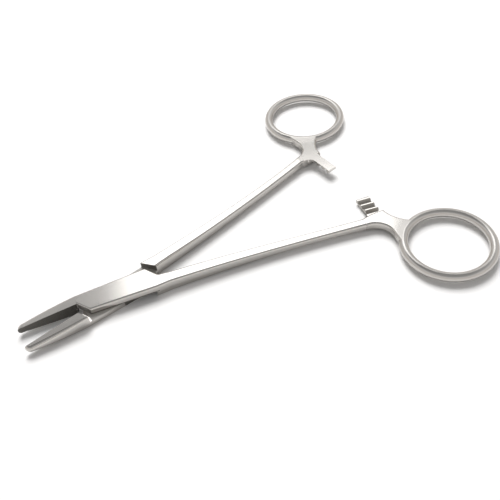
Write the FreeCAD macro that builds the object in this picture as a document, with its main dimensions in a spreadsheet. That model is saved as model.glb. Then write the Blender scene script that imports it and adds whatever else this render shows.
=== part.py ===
import FreeCAD, Part
import math
import os
import Sketcher

V = FreeCAD.Vector

# Needle holder: two identical forged arms, one turned over on the other, lapped at the joint
# and held by a flush rivet. Lengths are in mm and angles in degrees.
# The pivot axis is Z, the finger rings lie towards +X and the jaws towards -X.
# An arm is drawn with its jaw on the +Y side, its handle on the -Y side and its mid-plane at
# Z 0, as it lies when the jaws are closed. Distances along the arm are measured from the pivot.
dimensions = {
    "half_opening": 6.85,
    "joint_thickness": 4.6,
    "lap_clearance": 0.04,
    # jaw
    "jaw_reach": 31.3,
    "jaw_mid_reach": 21.5,
    "jaw_root_width": 3.9,
    "jaw_mid_width": 3.2,
    "jaw_tip_width": 2.0,
    "jaw_mid_thickness": 3.5,
    "jaw_tip_thickness": 2.3,
    "jaw_mid_radius": 0.95,
    "jaw_tip_radius": 0.95,
    "grip_clearance": 0.04,
    "grip_relief": 0.2,
    # joint plate and its shoulders
    "plate_front": 12.2,
    "plate_front_corner": 9.1,
    "plate_rear": 14.3,
    "plate_rear_corner": 11.2,
    "plate_notch": 0.1,
    "plate_outer": 4.5,
    "plate_inner": 3.8,
    "plate_heel_reach": 12.5,
    "plate_heel": 4.8,
    "plate_edge_radius": 0.6,
    "plate_corner_radius": 0.8,
    "front_gap": 1.1,
    "front_outer_gap": 2.3,
    "rear_gap": 1.0,
    "rear_outer_gap": 0.8,
    # shank
    "shank_start": 17.0,
    "shank_start_offset": 2.43,
    "shank_start_width": 4.26,
    "shank_seat": 0.5,
    "shank_step": 0.02,
    "shank_taper_reach": 34.0,
    "shank_taper_offset": 3.65,
    "shank_taper_width": 3.7,
    "shank_taper_thickness": 3.7,
    "shank_mid_reach": 56.0,
    "shank_mid_offset": 5.9,
    "shank_mid_width": 3.2,
    "shank_mid_thickness": 2.75,
    "shank_edge_radius": 0.5,
    # finger ring and the neck that carries it
    "ring_reach": 102.7,
    "ring_offset": 29.5,
    "ring_hole_radius": 12.6,
    "ring_wire": 3.05,
    "neck_low_turn": 162.0,
    "neck_top_turn": 113.0,
    "neck_lead": 3.8,
    "neck_offset": 9.8,
    "neck_width": 3.35,
    "neck_step": 0.06,
    "neck_edge_radius": 0.7,
    "neck_bend_radius": 6.2,
    "neck_fork_radius": 10.8,
    "neck_corner_radius": 1.5,
    # ratchet
    "ratchet_setback": 15.4,
    "upper_ratchet_width": 4.7,
    "lower_ratchet_width": 3.4,
    "ratchet_overlap": 2.2,
    "ratchet_foot": 0.7,
    "ratchet_root_radius": 3.0,
    "ratchet_clearance": 0.1,
    "tooth_count": 3,
    "tooth_pitch": 2.6,
    "tooth_depth": 1.1,
    "tooth_lean": 0.6,
    "tooth_land": 0.4,
    "tooth_skew": 7.0,
    "tooth_margin": 1.2,
    # rivet
    "rivet_radius": 1.5,
    "rivet_head_radius": 2.1,
    "rivet_head_depth": 0.6,
    "rivet_clearance": 0.03,
}
near = 0.001

doc = FreeCAD.newDocument("needle_holder")
sheet = doc.addObject("Spreadsheet::Sheet", "Sizes")
for row, (name, number) in enumerate(dimensions.items(), start=1):
    sheet.set("A%d" % row, name)
    sheet.set("B%d" % row, str(number))
    sheet.setAlias("B%d" % row, name)
doc.recompute()


class Size:
    """A number together with the sheet formula that gives it."""

    def __init__(self, number, formula):
        self.number = number
        self.formula = formula

    def join(self, sign, other, number):
        return Size(number, "(%s %s %s)" % (self.formula, sign, other.formula))

    def __add__(self, other):
        other = as_size(other)
        return self.join("+", other, self.number + other.number)

    def __sub__(self, other):
        other = as_size(other)
        return self.join("-", other, self.number - other.number)

    def __mul__(self, other):
        other = as_size(other)
        return self.join("*", other, self.number * other.number)

    def __truediv__(self, other):
        other = as_size(other)
        return self.join("/", other, self.number / other.number)

    def __neg__(self):
        return Size(-self.number, "(-1 * %s)" % self.formula)


def as_size(item):
    return item if isinstance(item, Size) else Size(float(item), repr(float(item)))


class Sizes:
    """Gives each cell of the sheet as a Size, by its alias."""

    def __getattr__(self, name):
        return Size(float(sheet.get(name)), "Sizes.%s" % name)


s = Sizes()
joint_half = s.joint_thickness / 2
lap_face = s.lap_clearance / 2
neck_thickness = s.ring_wire - s.neck_step
neck_half = neck_thickness / 2
wire_radius = s.ring_wire / 2
ring_radius = s.ring_hole_radius + wire_radius
ring_outer = ring_radius + wire_radius
ring_x = s.ring_reach
ring_y = -s.ring_offset
ratchet_reach = s.ring_reach - s.ratchet_setback
neck_start = ratchet_reach - s.neck_lead
grip_root = s.grip_clearance + s.grip_relief
grip_mid = s.grip_clearance + s.grip_relief / 2


def on_ring(turn, radius):
    """The point at a radius from the ring's centre, turned from +X towards +Y."""
    angle = math.radians(turn.number)
    across = Size(math.cos(angle), "cos(%s * 1 deg)" % turn.formula)
    up = Size(math.sin(angle), "sin(%s * 1 deg)" % turn.formula)
    return ring_x + radius * across, ring_y + radius * up


def plane_of(body, role):
    for feature in body.Origin.OriginFeatures:
        if feature.Role == role:
            return feature


def new_sketch(body, name, role, offset=None):
    """An empty sketch on one of the body's origin planes, moved by offset in the plane's axes."""
    sketch = body.newObject("Sketcher::SketchObject", name)
    sketch.AttachmentSupport = [(plane_of(body, role), "")]
    sketch.MapMode = "FlatFace"
    for axis, distance in zip("xyz", offset or ()):
        distance = as_size(distance)
        sketch.setExpression("AttachmentOffset.Base.%s" % axis, distance.formula)
    return sketch


def outline(sketch, corners):
    """Closes straight lines and arcs through the corners.

    A corner is (across, up) or (across, up, radius), where the radius is that of an arc that
    runs on to the next corner, positive if it bulges to the left of the way it is drawn.
    """
    count = len(corners)
    points = [V(as_size(c[0]).number, as_size(c[1]).number, 0) for c in corners]
    for i, corner in enumerate(corners):
        start, end = points[i], points[(i + 1) % count]
        if len(corner) == 3:
            bulge = as_size(corner[2]).number
            chord = end - start
            left = V(-chord.y, chord.x, 0).normalize()
            radius = abs(bulge)
            rise = radius - (radius * radius - chord.Length ** 2 / 4) ** 0.5
            middle = (start + end) / 2 + left * (rise if bulge > 0 else -rise)
            curve = Part.Arc(start, middle, end)
            sketch.addGeometry(curve, False)
        else:
            sketch.addGeometry(Part.LineSegment(start, end), False)
    ends = []
    for i, corner in enumerate(corners):
        # an arc of a circle runs anticlockwise, so one that bulges to the right starts at its
        # first point and one that bulges to the left starts at its last
        turned = len(corner) == 3 and as_size(corner[2]).number > 0
        ends.append((2, 1) if turned else (1, 2))
    for i, corner in enumerate(corners):
        nxt = (i + 1) % count
        sketch.addConstraint(Sketcher.Constraint("Coincident", i, ends[i][1], nxt, ends[nxt][0]))
        for kind, item in (("DistanceX", corner[0]), ("DistanceY", corner[1])):
            item = as_size(item)
            index = sketch.addConstraint(
                Sketcher.Constraint(kind, -1, 1, i, ends[i][0], item.number))
            sketch.setExpression("Constraints[%d]" % index, item.formula)
        if len(corner) == 3:
            item = as_size(corner[2])
            item = item if item.number > 0 else -item
            index = sketch.addConstraint(Sketcher.Constraint("Radius", i, item.number))
            sketch.setExpression("Constraints[%d]" % index, item.formula)
    return sketch


def circle(sketch, reach, radius):
    """A circle with its centre on the sketch's X axis."""
    sketch.addGeometry(Part.Circle(V(reach.number, 0, 0), V(0, 0, 1), radius.number))
    sketch.addConstraint(Sketcher.Constraint("PointOnObject", 0, 3, -1))
    for kind, ends, item in (("DistanceX", (-1, 1, 0, 3), reach), ("Radius", (0,), radius)):
        index = sketch.addConstraint(Sketcher.Constraint(kind, *ends, item.number))
        sketch.setExpression("Constraints[%d]" % index, item.formula)


def pad(body, name, sketch, length, midplane=True):
    feature = body.newObject("PartDesign::Pad", name)
    feature.Profile = sketch
    feature.Midplane = midplane
    feature.setExpression("Length", as_size(length).formula)
    doc.recompute()
    return feature


def pocket(body, name, sketch, length, midplane=False):
    before = body.Shape.Volume
    feature = body.newObject("PartDesign::Pocket", name)
    feature.Profile = sketch
    feature.Midplane = midplane
    feature.setExpression("Length", as_size(length).formula)
    doc.recompute()
    if body.Shape.Volume > before - near:
        raise RuntimeError("%s cuts nothing" % name)
    return feature


def loft(body, name, sections):
    feature = body.newObject("PartDesign::AdditiveLoft", name)
    feature.Profile = sections[0]
    feature.Sections = sections[1:]
    doc.recompute()
    return feature


def revolve(body, name, sketch, angle=360):
    """Turns a sketch about its own upright axis."""
    feature = body.newObject("PartDesign::Revolution", name)
    feature.Profile = sketch
    feature.ReferenceAxis = (sketch, ["V_Axis"])
    feature.Angle = angle
    doc.recompute()
    return feature


def round_edges(body, name, radius, wanted):
    """Fillets the edges of the body's present shape for which wanted(edge) is true."""
    base = body.Tip
    names = ["Edge%d" % (i + 1) for i, edge in enumerate(base.Shape.Edges) if wanted(edge)]
    feature = body.newObject("PartDesign::Fillet", name)
    feature.Base = (base, names)
    feature.setExpression("Radius", radius.formula)
    doc.recompute()
    return feature


def is_rim(edge, half_thickness):
    """True for an edge that lies wholly in the top or the bottom face."""
    return all(abs(abs(v.Z) - half_thickness) < near for v in edge.Vertexes)


def stands_at(edge, corner):
    """True for an upright edge whose foot is at the corner."""
    return all(abs(v.X - corner[0].number) < near and abs(v.Y - corner[1].number) < near
               for v in edge.Vertexes)


def crosses(edge, station):
    """True for an edge that lies in the plane across the arm at X station."""
    return all(abs(v.X - station.number) < near for v in edge.Vertexes)


def inside_ring(edge):
    """True for an edge that the finger ring's wire covers."""
    center = V(ring_x.number, ring_y.number, 0)
    reach = ring_outer.number + near
    return all((V(v.X, v.Y, 0) - center).Length < reach for v in edge.Vertexes)


def shank_section(body, name, station, offset, width, half, radius):
    """A section of the shank, rounded all round, whose middle lies at Y -offset."""
    sketch = new_sketch(body, name, "YZ_Plane", (-offset, 0, station))
    outline(sketch, [
        (radius - width / 2, half),
        (width / 2 - radius, half, radius),
        (width / 2, half - radius),
        (width / 2, radius - half, radius),
        (width / 2 - radius, -half),
        (radius - width / 2, -half, radius),
        (-(width / 2), radius - half),
        (-(width / 2), half - radius, radius),
    ])
    return sketch


def jaw_section(body, name, station, inner, outer, half, radius):
    """A section of the jaw, square at its grip face and rounded outside.

    The sketch's upright axis lies in the grip face.
    """
    sketch = new_sketch(body, name, "YZ_Plane", (inner, 0, station))
    width = outer - inner
    outline(sketch, [
        (0, half),
        (width - radius, half, radius),
        (width, half - radius),
        (width, radius - half, radius),
        (width - radius, -half),
        (0, -half),
    ])
    return sketch


def make_arm(label, bore_radius, head_radius, ratchet_width):
    """One forged arm with its jaw, joint plate, shank, ratchet bar and finger ring."""
    body = doc.addObject("PartDesign::Body", label)
    body.Label = label
    body.AllowCompound = True

    # joint plate, full thickness at first, with its slanted front and rear edges
    plate = outline(new_sketch(body, "PlateOutline", "XY_Plane"), [
        (-s.plate_front, grip_root),
        (-s.plate_front_corner, -s.plate_inner),
        (s.plate_heel_reach, -s.plate_heel),
        (s.shank_start, -s.shank_start_offset - s.shank_start_width / 2),
        (s.shank_start, -s.shank_start_offset + s.shank_start_width / 2),
        (s.plate_rear, s.plate_notch),
        (s.plate_rear_corner, s.plate_outer),
        (-s.plate_front, s.jaw_root_width),
    ])
    pad(body, "Plate", plate, s.joint_thickness)
    corners = [(-s.plate_front_corner, -s.plate_inner), (s.plate_heel_reach, -s.plate_heel),
               (s.plate_rear, s.plate_notch), (s.plate_rear_corner, s.plate_outer)]
    round_edges(body, "PlateCorners", s.plate_corner_radius,
                lambda edge: any(stands_at(edge, corner) for corner in corners))
    round_edges(body, "PlateRims", s.plate_edge_radius,
                lambda edge: is_rim(edge, joint_half.number)
                and not crosses(edge, s.shank_start) and not crosses(edge, -s.plate_front))

    # neck, a flat web that bends from the shank into the ring
    low_end = on_ring(s.neck_low_turn, ring_radius)
    top_end = on_ring(s.neck_top_turn, ring_radius)
    outer_end = on_ring(s.neck_top_turn, ring_outer)
    bend_x = neck_start + s.neck_bend_radius
    bend_y = -s.neck_offset - s.neck_width / 2 - s.neck_bend_radius
    bar_left = ratchet_reach
    bar_right = ratchet_reach + ratchet_width
    shoulder_y = -s.neck_offset + s.neck_width / 2 + s.ratchet_foot
    fork_x = ratchet_reach + s.upper_ratchet_width
    neck = outline(new_sketch(body, "NeckOutline", "XY_Plane"), [
        (neck_start, -s.neck_offset - s.neck_width / 2, s.neck_bend_radius),
        (bend_x, bend_y),
        (low_end[0], low_end[1], ring_radius),
        top_end,
        (outer_end[0], outer_end[1], s.neck_fork_radius),
        (fork_x, shoulder_y),
        (bar_left, shoulder_y),
        (neck_start, -s.neck_offset + s.neck_width / 2),
    ])
    pad(body, "Neck", neck, neck_thickness)
    round_edges(body, "NeckCorner", s.neck_corner_radius,
                lambda edge: stands_at(edge, (bar_left, shoulder_y)))
    round_edges(body, "NeckRims", s.neck_edge_radius,
                lambda edge: is_rim(edge, neck_half.number)
                and min(v.X for v in edge.Vertexes) > neck_start.number - near
                and not crosses(edge, neck_start) and not inside_ring(edge))

    # jaw, flat on its grip side and rounded on the others, with a blunt round nose
    nose_start = s.jaw_tip_width - s.grip_clearance - s.jaw_reach
    tip = (nose_start, s.grip_clearance, s.jaw_tip_width, s.jaw_tip_thickness / 2, s.jaw_tip_radius)
    loft(body, "Jaw", [
        jaw_section(body, "JawRoot", -s.plate_front, grip_root, s.jaw_root_width,
                    joint_half, s.plate_edge_radius),
        jaw_section(body, "JawMiddle", -s.jaw_mid_reach, grip_mid, s.jaw_mid_width,
                    s.jaw_mid_thickness / 2, s.jaw_mid_radius),
        jaw_section(body, "JawTip", *tip),
    ])
    nose = jaw_section(body, "JawNoseSection", *tip)
    revolve(body, "JawNose", nose, 90)

    # shank, tapering from the joint to the neck
    sections = [
        shank_section(body, "ShankStart", s.shank_start - s.shank_seat, s.shank_start_offset,
                      s.shank_start_width - s.shank_step * 2, joint_half - s.shank_step,
                      s.plate_edge_radius),
        shank_section(body, "ShankTaper", s.shank_taper_reach, s.shank_taper_offset,
                      s.shank_taper_width, s.shank_taper_thickness / 2, s.shank_edge_radius),
        shank_section(body, "ShankMiddle", s.shank_mid_reach, s.shank_mid_offset,
                      s.shank_mid_width, s.shank_mid_thickness / 2, s.shank_edge_radius),
        shank_section(body, "ShankEnd", neck_start + s.shank_seat, s.neck_offset,
                      s.neck_width - s.shank_step * 2, neck_half - s.shank_step,
                      s.neck_edge_radius),
    ]
    loft(body, "Shank", sections)

    # finger ring
    section = new_sketch(body, "RingSection", "XZ_Plane", (ring_x, 0, s.ring_offset))
    circle(section, ring_radius, wire_radius)
    revolve(body, "Ring", section)

    # ratchet bar in the lower half, with its root flared into the shank
    crest = -s.ratchet_clearance / 2
    root_y = -s.neck_offset
    flare_y = -s.neck_offset + s.neck_width / 2
    bar = outline(new_sketch(body, "RatchetOutline", "XY_Plane", (0, 0, -neck_half)), [
        (bar_left - s.ratchet_root_radius, flare_y, -s.ratchet_root_radius),
        (bar_left, flare_y + s.ratchet_root_radius),
        (bar_left, s.ratchet_overlap),
        (bar_right, s.ratchet_overlap),
        (bar_right, root_y),
        (bar_left - s.ratchet_root_radius, root_y),
    ])
    pad(body, "Ratchet", bar, neck_half + crest, midplane=False)

    # saw teeth across the upper side of the bar, their steep faces towards the arm
    valley = crest - s.tooth_depth
    above = crest + s.tooth_depth
    corners = [(shoulder_y, above), (shoulder_y, valley)]
    for tooth in reversed(range(int(s.tooth_count.number))):
        step = s.ratchet_overlap - s.tooth_margin - s.tooth_pitch * tooth
        corners += [(step - s.tooth_lean, valley), (step, crest), (step + s.tooth_land, crest)]
    corners += [(s.ratchet_overlap + s.tooth_pitch - s.tooth_margin, valley),
                (s.ratchet_overlap + s.tooth_pitch - s.tooth_margin, above)]
    saw = new_sketch(body, "ToothOutline", "YZ_Plane", (0, 0, bar_left + ratchet_width / 2))
    saw.AttachmentOffset = FreeCAD.Placement(V(0, 0, 0), FreeCAD.Rotation(V(0, 1, 0), -1))
    saw.setExpression("AttachmentOffset.Rotation.Angle", "-1 * Sizes.tooth_skew")
    outline(saw, corners)
    pocket(body, "Teeth", saw, ratchet_width * 2, midplane=True)

    # lap: the lower half of the joint is cut away between the two shoulders
    front_in, front_out = -s.plate_front - s.front_gap, -s.plate_front_corner - s.front_outer_gap
    rear_in, rear_out = s.plate_rear + s.rear_gap, s.plate_rear_corner + s.rear_outer_gap
    clear = s.plate_outer + s.plate_inner
    lap = outline(new_sketch(body, "LapOutline", "XY_Plane", (0, 0, lap_face)), [
        (front_in, -clear),
        (front_in, -grip_root),
        (front_out, s.plate_inner),
        (front_out, clear),
        (rear_in, clear),
        (rear_in, -s.plate_notch),
        (rear_out, -s.plate_outer),
        (rear_out, -clear),
    ])
    pocket(body, "Lap", lap, s.joint_thickness)

    # hole for the rivet, countersunk in the outer face
    hole = outline(new_sketch(body, "RivetHoleSection", "XZ_Plane"), [
        (0, -joint_half),
        (bore_radius, -joint_half),
        (bore_radius, joint_half - s.rivet_head_depth),
        (head_radius, joint_half),
        (head_radius, joint_half * 2),
        (0, joint_half * 2),
    ])
    before = body.Shape.Volume
    groove = body.newObject("PartDesign::Groove", "RivetHole")
    groove.Profile = hole
    groove.ReferenceAxis = (hole, ["V_Axis"])
    groove.Angle = 360
    doc.recompute()
    if body.Shape.Volume > before - near:
        raise RuntimeError("the rivet hole cuts nothing")
    return body


upper_arm = make_arm("upper_arm", s.rivet_radius, s.rivet_head_radius, s.upper_ratchet_width)
lower_arm = make_arm("lower_arm", s.rivet_radius + s.rivet_clearance,
                     s.rivet_head_radius + s.rivet_clearance, s.lower_ratchet_width)

# the rivet is peened over into both countersinks and ground flush
rivet = doc.addObject("PartDesign::Body", "pivot_rivet")
rivet.Label = "pivot_rivet"
profile = outline(new_sketch(rivet, "RivetSection", "XZ_Plane"), [
    (0, -joint_half),
    (s.rivet_head_radius, -joint_half),
    (s.rivet_radius, s.rivet_head_depth - joint_half),
    (s.rivet_radius, joint_half - s.rivet_head_depth),
    (s.rivet_head_radius, joint_half),
    (0, joint_half),
])
revolve(rivet, "RivetTurned", profile)

# the arms open by equal turns about the pivot; the lower one is turned over about X first
lift = V(0, 0, joint_half.number)
opening = s.half_opening.number
upper_arm.Placement = FreeCAD.Placement(lift, FreeCAD.Rotation(V(0, 0, 1), -opening))
lower_arm.Placement = FreeCAD.Placement(
    lift, FreeCAD.Rotation(V(0, 0, 1), opening) * FreeCAD.Rotation(V(1, 0, 0), 180))
rivet.Placement = FreeCAD.Placement(lift, FreeCAD.Rotation())
doc.recompute()

for item in doc.Objects:
    if "Invalid" in item.State or "Error" in item.State:
        raise RuntimeError("%s failed" % item.Name)
os.makedirs("parts", exist_ok=True)
for body in (upper_arm, lower_arm, rivet):
    if body.Shape.isNull() or not body.Shape.isValid() or len(body.Shape.Solids) != 1:
        raise RuntimeError("%s is not one valid solid" % body.Label)
    body.Shape.exportStep("parts/%s.step" % body.Label)
    print(body.Label, round(body.Shape.Volume, 2), body.Shape.BoundBox)
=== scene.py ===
import math
import bmesh
import bpy
from mathutils import Matrix, Vector

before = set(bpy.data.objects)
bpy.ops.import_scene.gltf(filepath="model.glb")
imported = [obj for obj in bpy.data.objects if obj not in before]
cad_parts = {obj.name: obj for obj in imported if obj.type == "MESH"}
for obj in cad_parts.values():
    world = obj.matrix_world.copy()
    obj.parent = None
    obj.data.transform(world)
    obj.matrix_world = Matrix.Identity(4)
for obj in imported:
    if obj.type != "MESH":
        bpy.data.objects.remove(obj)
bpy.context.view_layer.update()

mm = 0.001
print("frame loaded:", sorted(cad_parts))


def linearColor(hexColor):
    # sRGB hex to the linear colour that the shaders take
    values = [int(hexColor[i:i + 2], 16) / 255 for i in (1, 3, 5)]
    return [v / 12.92 if v <= 0.04045 else ((v + 0.055) / 1.055) ** 2.4 for v in values] + [1.0]


white = linearColor("#FFFFFF")


def addNode(tree, kind, inputs=None, **settings):
    # an input goes by its name or its number among those in use, and takes a value, a socket to
    # link, or a node whose first output in use is linked
    node = tree.nodes.new("ShaderNode" + kind)
    for name, value in settings.items():
        setattr(node, name, value)
    sockets = [socket for socket in node.inputs if socket.enabled]
    names = [socket.name for socket in sockets]
    for name, value in (inputs or {}).items():
        socket = sockets[names.index(name) if isinstance(name, str) else name]
        if isinstance(value, bpy.types.Node):
            value = next(output for output in value.outputs if output.enabled)
        if isinstance(value, bpy.types.NodeSocket):
            tree.links.new(value, socket)
        else:
            socket.default_value = value
    return node


def newTree(name):
    material = bpy.data.materials.new(name)
    material.use_nodes = True
    material.node_tree.nodes.clear()
    return material, material.node_tree


def turned(tree, vector, angle, scale=(1, 1, 1)):
    # the vector turned about the pivot and then scaled
    turn = addNode(tree, "Mapping", {"Vector": vector, "Rotation": (0, 0, angle)}, vector_type="POINT")
    return addNode(tree, "Mapping", {"Vector": turn, "Scale": scale}, vector_type="POINT")


# forged stainless steel, ground along the arm and then polished: it mirrors the room, a little
# drawn out across the faint grinding lines; lengths are in mm
steel = {
    "color": "#C3C0BC",
    "roughness": (0.13, 0.18),
    "ringRoughness": 0.28,          # the rings are only tumbled, so they are duller than the arms
    "ringCenter": (102.7, -29.5, 0),    # along the arm and inboard
    "ringBlend": (18.5, 15.8),      # the tumbled finish starts and is full at these distances from it
    "lineSpacing": 0.12,            # coarser than the real 0.02 mm lines, so that they show
    "lineLength": 9.0,
    "lineDepth": 0.0012,
    "lineStrength": 0.7,
    "lineDetail": 3.0,
    "lineBreakup": 0.6,
    "lineContrast": (0.3, 0.7),     # the part of the noise that the roughness follows
    "waveSize": 6.0,                # hand polishing leaves the flats slightly wavy
    "waveDepth": 0.006,
    "waveStrength": 0.6,
    "waveDetail": 1.0,
}
# stainless steel left as the cutter left it, dull beside the polish; it is painted a darker grey than
# the steel, partly for the cutter's duller finish and partly as painted shade in the recess, under the
# upper plate, along its lower edge, on the grip and on the faces of the joint and teeth
milledAndShade = {
    # painted shade: this dark grey stands for the shade in the recess, under the upper plate and along
    # its lower edge; on the grip it is partly the duller serrated finish and partly painted shade
    "color": "#6E6C68",
    # the joint's shoulder faces: a duller finish, and painted shade because they sit in shade and
    # mirror dark parts
    "jointDullAndShadeColor": "#94918D",
    # the ratchet teeth and the bar's sides: darker than the steel as painted shade, with the duller
    # finish of the steep faces
    "toothDullAndShadeColor": "#B4B1AC",
    "roughness": 0.45,
    "lapRoughness": 0.50,
    "ledgeRoughness": 0.15,
    "ledgeSlope": 0.09,             # the cutter leaves the front ledge sloping down towards the pivot
    "gripPitch": 0.55,              # cross-cut serrations
    "gripDepth": 0.03,
    "gripStrength": 1.0,
}
# where those faces and the painted shade are: each by its limits in the arm's own axes, in mm, and by
# the way it faces.
# A face that looks straight that way has 1, and straightOn is past it to leave room for rounding
straightOn = 1.1
pastArm = 60.0
lapHeight = (2.18, 2.42)
milledAndShadedFaces = {
    # the shoulder faces of the joint: duller finish and painted shade
    "joint": {"along": (-16.0, 16.0), "facesEndways": (0.5, straightOn)},
    # the serrated grip faces: duller finish and painted shade
    "grip": {"along": (-40.0, -12.4), "across": (-0.29, 0.29), "facesSideways": (0.8, straightOn)},
    # the ratchet teeth and the bar's sides: duller finish and painted shade
    "teeth": {"along": (86.0, 93.0), "inboard": (-7.4, pastArm), "facesTeeth": (0.5, straightOn)},
    # painted shade: the side walls in the recess under the upper plate
    "pocketShade": {"along": (0.5, 12.5), "facesUp": (-0.5, 0.5), "facesOut": (-straightOn, -0.5)},
    # painted shade: the faces that look down at the lap's height
    "undersideShade": {"along": (-13.0, 16.0), "height": lapHeight, "facesUp": (-straightOn, -0.5)},
    # painted shade: a dark band along the lower edge of the upper plate, where it overlaps the lower
    # arm
    "seamShade": {"along": (-13.0, 13.0), "height": (2.30, 2.58), "facesUp": (-0.5, 0.5)},
    "lap": {"along": (-13.0, 16.0), "height": lapHeight, "facesUp": (0.95, straightOn)},
    "ledge": {"along": (-13.0, -10.8), "height": lapHeight, "facesUp": (0.95, straightOn)},
}


def faceMeasures(tree, place, facing, side):
    # where a point lies on the arm and which way its face looks; inboard is towards the other ring,
    # and side is -1 for the arm that is turned over
    along, across, height = addNode(tree, "SeparateXYZ", {"Vector": place}).outputs
    endways, sideways, upward = addNode(tree, "SeparateXYZ", {"Vector": facing}).outputs
    outward = addNode(tree, "Math", {0: sideways, 1: -side}, operation="MULTIPLY")
    jawward = addNode(tree, "Math", {0: endways, 1: -1.0}, operation="MULTIPLY")
    return {
        "along": along,
        "across": across,
        "height": height,
        "inboard": addNode(tree, "Math", {0: across, 1: side}, operation="MULTIPLY"),
        "facesEndways": addNode(tree, "Math", {0: endways}, operation="ABSOLUTE"),
        "facesSideways": addNode(tree, "Math", {0: sideways}, operation="ABSOLUTE"),
        "facesUp": upward,
        "facesOut": outward,
        "facesTeeth": addNode(tree, "Math", {0: outward, 1: jawward}, operation="MAXIMUM"),
    }


def faceMask(tree, measures, limits):
    # 1 where every measure lies within its limits
    mask = 1.0
    for name, (low, high) in limits.items():
        middle, reach = (low + high) / 2, (high - low) / 2
        inside = addNode(tree, "Math", {0: measures[name], 1: middle, 2: reach}, operation="COMPARE")
        mask = addNode(tree, "Math", {0: mask, 1: inside}, operation="MULTIPLY")
    return mask


def ringMask(tree, measures):
    # 1 on the finger ring, fading out up the neck
    spot = addNode(tree, "CombineXYZ", {"X": measures["along"], "Y": measures["inboard"]})
    distance = addNode(tree, "VectorMath", {0: spot, 1: steel["ringCenter"]}, operation="DISTANCE")
    start, full = steel["ringBlend"]
    return addNode(tree, "MapRange", {"Value": distance, "From Min": start, "From Max": full},
                   interpolation_type="SMOOTHSTEP")


def gripGrooves(tree, measures):
    # two rows of grooves that cross on the grip faces
    rows = []
    for lean in ("ADD", "SUBTRACT"):
        slant = addNode(tree, "Math", {0: measures["along"], 1: measures["height"]}, operation=lean)
        phase = addNode(tree, "Math", {0: slant, 1: 2 * math.pi / milledAndShade["gripPitch"]},
                        operation="MULTIPLY")
        rows.append(addNode(tree, "Math", {0: phase}, operation="SINE"))
    return addNode(tree, "Math", {0: rows[0], 1: rows[1]}, operation="MINIMUM")


def armSteel(name, angle, side):
    # angle turns the pattern to the arm's own axes
    material, tree = newTree(name)
    coordinates = addNode(tree, "TexCoord").outputs
    place = turned(tree, coordinates["Object"], angle, (1 / mm, 1 / mm, 1 / mm))
    facing = turned(tree, coordinates["Normal"], angle)
    measures = faceMeasures(tree, place, facing, side)
    masks = {face: faceMask(tree, measures, limits) for face, limits in milledAndShadedFaces.items()}
    # these faces take the dark colour: the cutter's duller finish on some, painted shade on all
    cutAndShadedFaces = ["joint", "grip", "teeth", "pocketShade", "undersideShade"]
    # the painted shade along the upper plate's lower edge goes on the upper arm only
    if side > 0:
        cutAndShadedFaces.append("seamShade")
    cutAndShade = 0.0
    for face in cutAndShadedFaces:
        cutAndShade = addNode(tree, "Math", {0: cutAndShade, 1: masks[face]}, operation="MAXIMUM")

    # grinding lines, and the waves that polishing leaves
    length, spacing = steel["lineLength"], steel["lineSpacing"]
    fine = addNode(tree, "Mapping", {"Vector": place, "Scale": (1 / length, 1 / spacing, 1 / spacing)},
                   vector_type="POINT")
    lines = addNode(tree, "TexNoise", {"Vector": fine, "Scale": 1.0, "Detail": steel["lineDetail"],
                                       "Roughness": steel["lineBreakup"]})
    waves = addNode(tree, "TexNoise", {"Vector": coordinates["Object"], "Detail": steel["waveDetail"],
                                       "Scale": 1 / (steel["waveSize"] * mm)})

    faint, strong = steel["lineContrast"]
    smooth, dull = steel["roughness"]
    rough = addNode(tree, "MapRange", {"Value": lines, "From Min": faint, "From Max": strong,
                                       "To Min": smooth, "To Max": dull})
    for mask, value in ((ringMask(tree, measures), steel["ringRoughness"]),
                        (masks["lap"], milledAndShade["lapRoughness"]),
                        (masks["ledge"], milledAndShade["ledgeRoughness"]),
                        (cutAndShade, milledAndShade["roughness"])):
        rough = addNode(tree, "Mix", {"Factor": mask, "A": rough, "B": value}, data_type="FLOAT")

    paint = linearColor(steel["color"])
    # the faces in the masks are painted darker: partly duller finish, partly painted shade
    for mask, color in ((cutAndShade, "color"), (masks["joint"], "jointDullAndShadeColor"), (masks["teeth"], "toothDullAndShadeColor")):
        paint = addNode(tree, "Mix", {"Factor": mask, "A": paint, "B": linearColor(milledAndShade[color])},
                        data_type="RGBA")

    grooves = addNode(tree, "Math", {0: gripGrooves(tree, measures), 1: masks["grip"]},
                      operation="MULTIPLY")
    serrated = addNode(tree, "Bump", {"Height": grooves, "Strength": milledAndShade["gripStrength"],
                                      "Distance": milledAndShade["gripDepth"] * mm})
    wavy = addNode(tree, "Bump", {"Height": waves, "Strength": steel["waveStrength"],
                                  "Distance": steel["waveDepth"] * mm, "Normal": serrated})
    ground = addNode(tree, "Bump", {"Height": lines, "Strength": steel["lineStrength"],
                                    "Distance": steel["lineDepth"] * mm, "Normal": wavy})
    slope = addNode(tree, "Bump", {"Height": measures["along"], "Strength": 1.0,
                                   "Distance": milledAndShade["ledgeSlope"] * mm}, invert=True)
    normal = addNode(tree, "Mix", {"Factor": masks["ledge"], "A": ground, "B": slope},
                     data_type="VECTOR")
    shader = addNode(tree, "BsdfPrincipled", {
        "Base Color": paint, "Metallic": 1.0, "Roughness": rough, "Normal": normal})
    addNode(tree, "OutputMaterial", {"Surface": shader})
    return material


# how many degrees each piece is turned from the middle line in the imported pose, and its side
pieces = {"upper_arm": (6.85, 1), "lower_arm": (-6.85, -1), "pivot_rivet": (0, 1)}
for node, (degrees, side) in pieces.items():
    material = armSteel("polishedSteel_" + node, math.radians(degrees), side)
    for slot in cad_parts[node].material_slots:
        slot.material = material
print("materials done")


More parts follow.
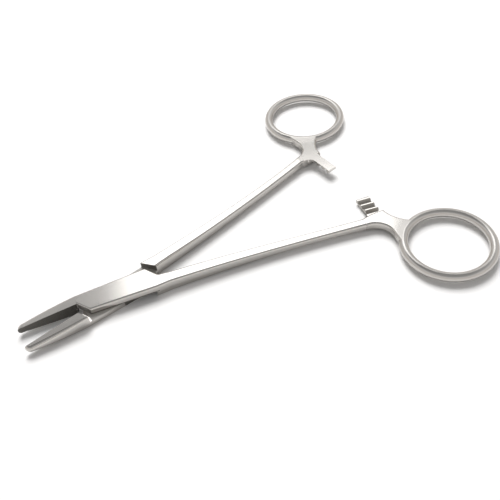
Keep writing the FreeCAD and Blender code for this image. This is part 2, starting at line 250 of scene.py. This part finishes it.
# matt white table top: further out it glows to the camera, so that it stays white past the lamp's
# reach; lengths are in metres
table = {
    "reach": 8.0,
    "color": "#FAF9F8",
    "roughness": 0.9,
    "glow": (0.01, 0.75),
    "glowReach": (0.25, 1.0),
}
floorMesh = bpy.data.meshes.new("floor")
sheet = bmesh.new()
bmesh.ops.create_grid(sheet, x_segments=1, y_segments=1, size=table["reach"])
sheet.to_mesh(floorMesh)
sheet.free()
floor = bpy.data.objects.new("floor", floorMesh)
bpy.context.scene.collection.objects.link(floor)
floorPaint, tree = newTree("whiteTable")
spot = addNode(tree, "TexCoord").outputs["Object"]
distance = addNode(tree, "VectorMath", {0: spot}, operation="LENGTH")
glow = addNode(tree, "MapRange", {
    "Value": distance, "From Min": table["glowReach"][0], "From Max": table["glowReach"][1],
    "To Min": table["glow"][0], "To Max": table["glow"][1]}, interpolation_type="SMOOTHSTEP")
path = addNode(tree, "LightPath").outputs
seen = addNode(tree, "Math", {0: path["Is Camera Ray"], 1: path["Is Glossy Ray"]}, operation="MAXIMUM")
glowSeen = addNode(tree, "Math", {0: seen, 1: glow}, operation="MULTIPLY")
paint = addNode(tree, "BsdfPrincipled", {
    "Base Color": linearColor(table["color"]), "Roughness": table["roughness"],
    "Emission Color": white, "Emission Strength": glowSeen})
addNode(tree, "OutputMaterial", {"Surface": paint})
floorMesh.materials.append(floorPaint)


# a soft window behind the rings, whose reflection whitens the flats of the joint and the shanks
window = {"azimuth": 27.9, "elevation": 49.75, "distance": 2.0, "size": (0.97, 0.687),
          "power": 4.6, "mirrored": True}
# a wide soft lamp over it lights the table, and the steel doesn't mirror it
skylight = {"azimuth": 24.0, "elevation": 54.0, "distance": 2.0, "size": (1.2, 1.2),
            "power": 40.0, "mirrored": False}


def addPanel(name, panel):
    # a light panel that faces the joint; azimuth is from +Y towards +X
    azimuth, elevation = math.radians(panel["azimuth"]), math.radians(panel["elevation"])
    flat = math.cos(elevation)
    way = Vector((math.sin(azimuth) * flat, math.cos(azimuth) * flat, math.sin(elevation)))
    light = bpy.data.lights.new(name, "AREA")
    light.shape = "RECTANGLE"
    light.size, light.size_y = panel["size"]
    light.energy = panel["power"]
    lamp = bpy.data.objects.new(name, light)
    lamp.matrix_world = (Matrix.Translation(way * panel["distance"])
                         @ way.to_track_quat("Z", "Y").to_matrix().to_4x4())
    lamp.visible_glossy = panel["mirrored"]
    bpy.context.scene.collection.objects.link(lamp)


addPanel("window", window)
addPanel("skylight", skylight)

# the room: the steel mirrors bright walls, warm near the floor, and a dim ceiling that is less dim
# on the camera's side; heights and depths are parts of a direction of length 1
room = {
    "wall": 0.85,
    "wallTop": 0.62,
    "ceiling": 0.21,
    "ceilingStart": 0.90,
    "nearCeiling": 0.40,
    "nearStart": 0.05,
    "nearEnd": 0.35,
    "wallColor": "#F1E7DD",
    "warmTop": 0.55,
    "ambient": 0.33,                # what lights the duller faces and the table
    "backdrop": 1.0,                # white to the camera
}
world = bpy.data.worlds.new("room")
bpy.context.scene.world = world
world.use_nodes = True
tree = world.node_tree
tree.nodes.clear()
direction = addNode(tree, "TexCoord").outputs["Generated"]
_, depth, upward = addNode(tree, "SeparateXYZ", {"Vector": direction}).outputs
walls = addNode(tree, "MapRange", {
    "Value": upward, "From Min": room["wallTop"], "From Max": room["ceilingStart"],
    "To Min": room["wall"], "To Max": room["ceiling"]}, interpolation_type="SMOOTHSTEP")
nearSide = addNode(tree, "MapRange", {
    "Value": depth, "From Min": room["nearStart"], "From Max": room["nearEnd"],
    "To Min": room["nearCeiling"], "To Max": 0.0}, interpolation_type="SMOOTHSTEP")
shade = addNode(tree, "Math", {0: walls, 1: nearSide}, operation="MAXIMUM")
warm = addNode(tree, "MapRange", {"Value": upward, "From Min": room["warmTop"], "From Max": 0.0})
path = addNode(tree, "LightPath").outputs
strength = addNode(tree, "Mix", {"Factor": path["Is Glossy Ray"], "A": room["ambient"], "B": shade},
                   data_type="FLOAT")
strength = addNode(tree, "Mix", {"Factor": path["Is Camera Ray"], "A": strength, "B": room["backdrop"]},
                   data_type="FLOAT")
warmSeen = addNode(tree, "Math", {0: warm, 1: path["Is Glossy Ray"]}, operation="MULTIPLY")
tint = addNode(tree, "Mix", {"Factor": warmSeen, "A": white, "B": linearColor(room["wallColor"])},
               data_type="RGBA")
background = addNode(tree, "Background", {"Color": tint, "Strength": strength})
addNode(tree, "OutputWorld", {"Surface": background})
print("floor and lights done")


# camera: where the photograph was taken from, worked out from the outline of the rings and arms
view = {
    "place": (-15.333 * mm, -135.858 * mm, 156.1 * mm),
    "pan": 25.014,
    "tilt": 47.386,
    "roll": -7.166,
    "lens": 45.864,
    "nearest": 5 * mm,
}
pan, tilt, roll = (math.radians(view[name]) for name in ("pan", "tilt", "roll"))
ahead = Vector((math.sin(pan) * math.cos(tilt), math.cos(pan) * math.cos(tilt), -math.sin(tilt)))
right = Vector((math.cos(pan), -math.sin(pan), 0))
up = right.cross(ahead)
cameraRight = right * math.cos(roll) + up * math.sin(roll)
cameraUp = up * math.cos(roll) - right * math.sin(roll)
cameraData = bpy.data.cameras.new("camera")
cameraData.lens = view["lens"]
cameraData.clip_start = view["nearest"]
camera = bpy.data.objects.new("camera", cameraData)
turn = Matrix((cameraRight, cameraUp, -ahead)).transposed().to_4x4()
camera.matrix_world = Matrix.Translation(Vector(view["place"])) @ turn
bpy.context.scene.collection.objects.link(camera)
bpy.context.scene.camera = camera
bpy.context.scene.view_settings.view_transform = "Standard"
print("camera done")
